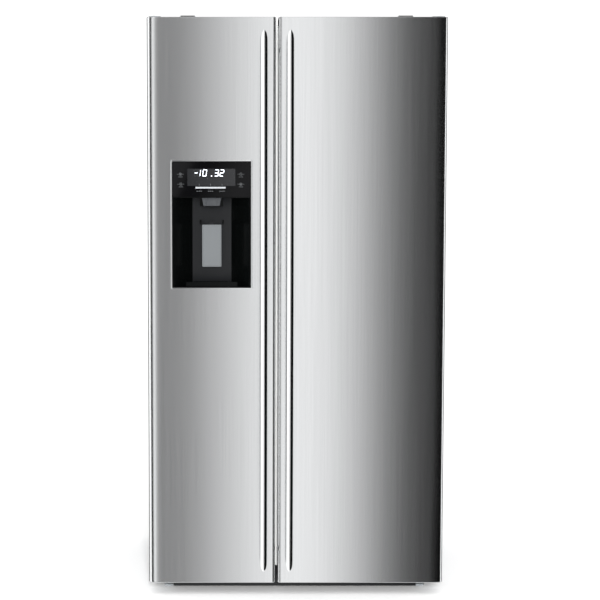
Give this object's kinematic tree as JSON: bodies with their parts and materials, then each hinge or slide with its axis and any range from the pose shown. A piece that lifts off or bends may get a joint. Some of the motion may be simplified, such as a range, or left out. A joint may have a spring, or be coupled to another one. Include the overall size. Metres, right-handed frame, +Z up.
{
  "type": "side by side refrigerator",
  "caption": "Free-standing side by side refrigerator with brushed steel doors, bar handles, an ice and water dispenser in the narrow door and a fitted interior.",
  "frame": {"origin": "on the floor, under the middle of the outside box", "axes": "+Z up, +X to the right as seen from the front, the doors face -Y"},
  "size_m": [0.908, 0.804, 1.777],
  "materials": {
    "brushed_stainless": "vertical brushed grain",
    "handle_steel": "polished",
    "case_paint": "fine textured grey paint",
    "zinc_sheet": "zinc plated",
    "foam": "rigid foam, cut",
    "liner_white": "smooth moulded",
    "flange_paint": "satin",
    "black_plastic": "fine grain",
    "compressor_black": "gloss enamel",
    "cover_board": "pressed board",
    "white_plastic": "smooth moulded",
    "coil_aluminium": "bare",
    "wire_white": "powder coated wire",
    "clear_plastic": "clear moulded",
    "shelf_glass": "tempered",
    "black_rubber": "moulded",
    "gasket_grey": "soft extrusion",
    "gloss_black": "high gloss",
    "recess_black": "high gloss",
    "grey_plastic": "satin",
    "display_lit": "lit segments"
  },
  "bodies": {
    "cabinet": {"outer_case": "case_paint", "back_panel": "zinc_sheet", "foam_core": "foam", "freezer_liner": "liner_white", "fridge_liner": "liner_white", "front_frame": "flange_paint", "base_frame": "zinc_sheet", "base_grille": "black_plastic", "top_hinges": "zinc_sheet", "hinge_covers": "black_plastic", "bottom_hinges": "zinc_sheet", "compressor": "compressor_black", "condenser": "compressor_black", "fan_shroud": "black_plastic", "machine_cover": "cover_board", "water_fittings": "white_plastic", "power_inlet": "black_plastic", "evaporator": "coil_aluminium", "evaporator_cover": "liner_white", "air_tower": "liner_white", "freezer_shelves": "wire_white", "shelf_glass": "shelf_glass", "shelf_frames": "white_plastic", "ice_maker": "coil_aluminium"},
    "freezer_door": {"freezer_door_skin": "brushed_stainless", "freezer_door_caps": "black_plastic", "freezer_door_foam": "foam", "freezer_door_liner": "liner_white", "freezer_door_gasket": "gasket_grey", "freezer_door_bins": "clear_plastic", "freezer_handle": "handle_steel", "dispenser_bezel": "handle_steel", "control_panel": "gloss_black", "display_digits": "display_lit", "dispenser_recess": "recess_black", "dispenser_chute": "grey_plastic"},
    "fridge_door": {"fridge_door_skin": "brushed_stainless", "fridge_door_caps": "black_plastic", "fridge_door_foam": "foam", "fridge_door_liner": "liner_white", "fridge_door_gasket": "gasket_grey", "fridge_door_bins": "clear_plastic", "fridge_handle": "handle_steel"},
    "paddle": {"dispenser_paddle": "grey_plastic"},
    "duct_flap": {"duct_flap": "white_plastic"},
    "drip_tray": {"drip_tray": "recess_black"},
    "dairy_lid": {"dairy_lid": "clear_plastic"},
    "condenser_fan": {"condenser_fan": "black_plastic"},
    "evaporator_fan": {"evaporator_fan": "black_plastic"},
    "air_damper": {"air_damper": "white_plastic"},
    "freezer_basket": {"freezer_basket": "clear_plastic"},
    "crisper_upper": {"crisper_upper": "clear_plastic"},
    "crisper_lower": {"crisper_lower": "clear_plastic"},
    "ice_bucket": {"ice_bucket": "clear_plastic"},
    "ice_auger": {"ice_auger": "coil_aluminium"},
    "water_filter": {"water_filter": "white_plastic"},
    "left_foot": {"left_foot": "zinc_sheet"},
    "right_foot": {"right_foot": "zinc_sheet"},
    "left_roller": {"left_roller": "black_rubber"},
    "right_roller": {"right_roller": "black_rubber"}
  },
  "joints": [
    {"name": "freezer_door_hinge", "type": "hinge", "parent": "cabinet", "child": "freezer_door", "pos_m": [-0.434, -0.302, 0.901], "axis": [0, 0, -1], "range_deg": [0, 120]},
    {"name": "fridge_door_hinge", "type": "hinge", "parent": "cabinet", "child": "fridge_door", "pos_m": [0.434, -0.302, 0.901], "axis": [0, 0, 1], "range_deg": [0, 120]},
    {"name": "paddle_hinge", "type": "hinge", "parent": "freezer_door", "child": "paddle", "pos_m": [-0.259, -0.3065, 1.15], "axis": [1, 0, 0], "range_deg": [0, 10], "stiffness_Nm_per_rad": 0.6},
    {"name": "flap_hinge", "type": "hinge", "parent": "freezer_door", "child": "duct_flap", "pos_m": [-0.259, -0.294, 1.216], "axis": [1, 0, 0], "range_deg": [0, 60]},
    {"name": "drip_tray_slide", "type": "slide", "parent": "freezer_door", "child": "drip_tray", "axis": [0, -1, 0], "range_m": [0, 0.045]},
    {"name": "dairy_lid_hinge", "type": "hinge", "parent": "fridge_door", "child": "dairy_lid", "pos_m": [0, -0.181, 1.641], "axis": [1, 0, 0], "range_deg": [0, 80]},
    {"name": "condenser_fan_spin", "type": "hinge", "parent": "cabinet", "child": "condenser_fan", "pos_m": [-0.07, 0.2725, 0.14], "axis": [1, 0, 0], "continuous": true},
    {"name": "evaporator_fan_spin", "type": "hinge", "parent": "cabinet", "child": "evaporator_fan", "pos_m": [-0.24825, 0.282, 0.65], "axis": [0, 1, 0], "continuous": true},
    {"name": "air_damper_hinge", "type": "hinge", "parent": "cabinet", "child": "air_damper", "pos_m": [0.18775, 0.2935, 1.585], "axis": [1, 0, 0], "range_deg": [0, 75]},
    {"name": "freezer_basket_slide", "type": "slide", "parent": "cabinet", "child": "freezer_basket", "axis": [0, -1, 0], "range_m": [0, 0.03]},
    {"name": "crisper_upper_slide", "type": "slide", "parent": "cabinet", "child": "crisper_upper", "axis": [0, -1, 0], "range_m": [0, 0.03]},
    {"name": "crisper_lower_slide", "type": "slide", "parent": "cabinet", "child": "crisper_lower", "axis": [0, -1, 0], "range_m": [0, 0.03]},
    {"name": "ice_bucket_slide", "type": "slide", "parent": "cabinet", "child": "ice_bucket", "axis": [0, -1, 0], "range_m": [0, 0.035]},
    {"name": "ice_auger_spin", "type": "hinge", "parent": "ice_bucket", "child": "ice_auger", "pos_m": [-0.259, -0.222, 1.446], "axis": [0, 1, 0], "continuous": true},
    {"name": "water_filter_twist", "type": "hinge", "parent": "cabinet", "child": "water_filter", "pos_m": [0.347, -0.051, 1.671], "axis": [0, 1, 0], "range_deg": [0, 90]},
    {"name": "left_foot_screw", "type": "slide", "parent": "cabinet", "child": "left_foot", "axis": [0, 0, 1], "range_m": [-0.02, 0]},
    {"name": "right_foot_screw", "type": "slide", "parent": "cabinet", "child": "right_foot", "axis": [0, 0, 1], "range_m": [-0.02, 0]},
    {"name": "left_roller_spin", "type": "hinge", "parent": "cabinet", "child": "left_roller", "pos_m": [-0.4332, 0.33, 0.02], "axis": [1, 0, 0], "continuous": true},
    {"name": "right_roller_spin", "type": "hinge", "parent": "cabinet", "child": "right_roller", "pos_m": [0.4332, 0.33, 0.02], "axis": [1, 0, 0], "continuous": true}
  ],
  "couplings": [
    {"joint": "flap_hinge", "follows": "paddle_hinge", "ratio": 6}
  ]
}
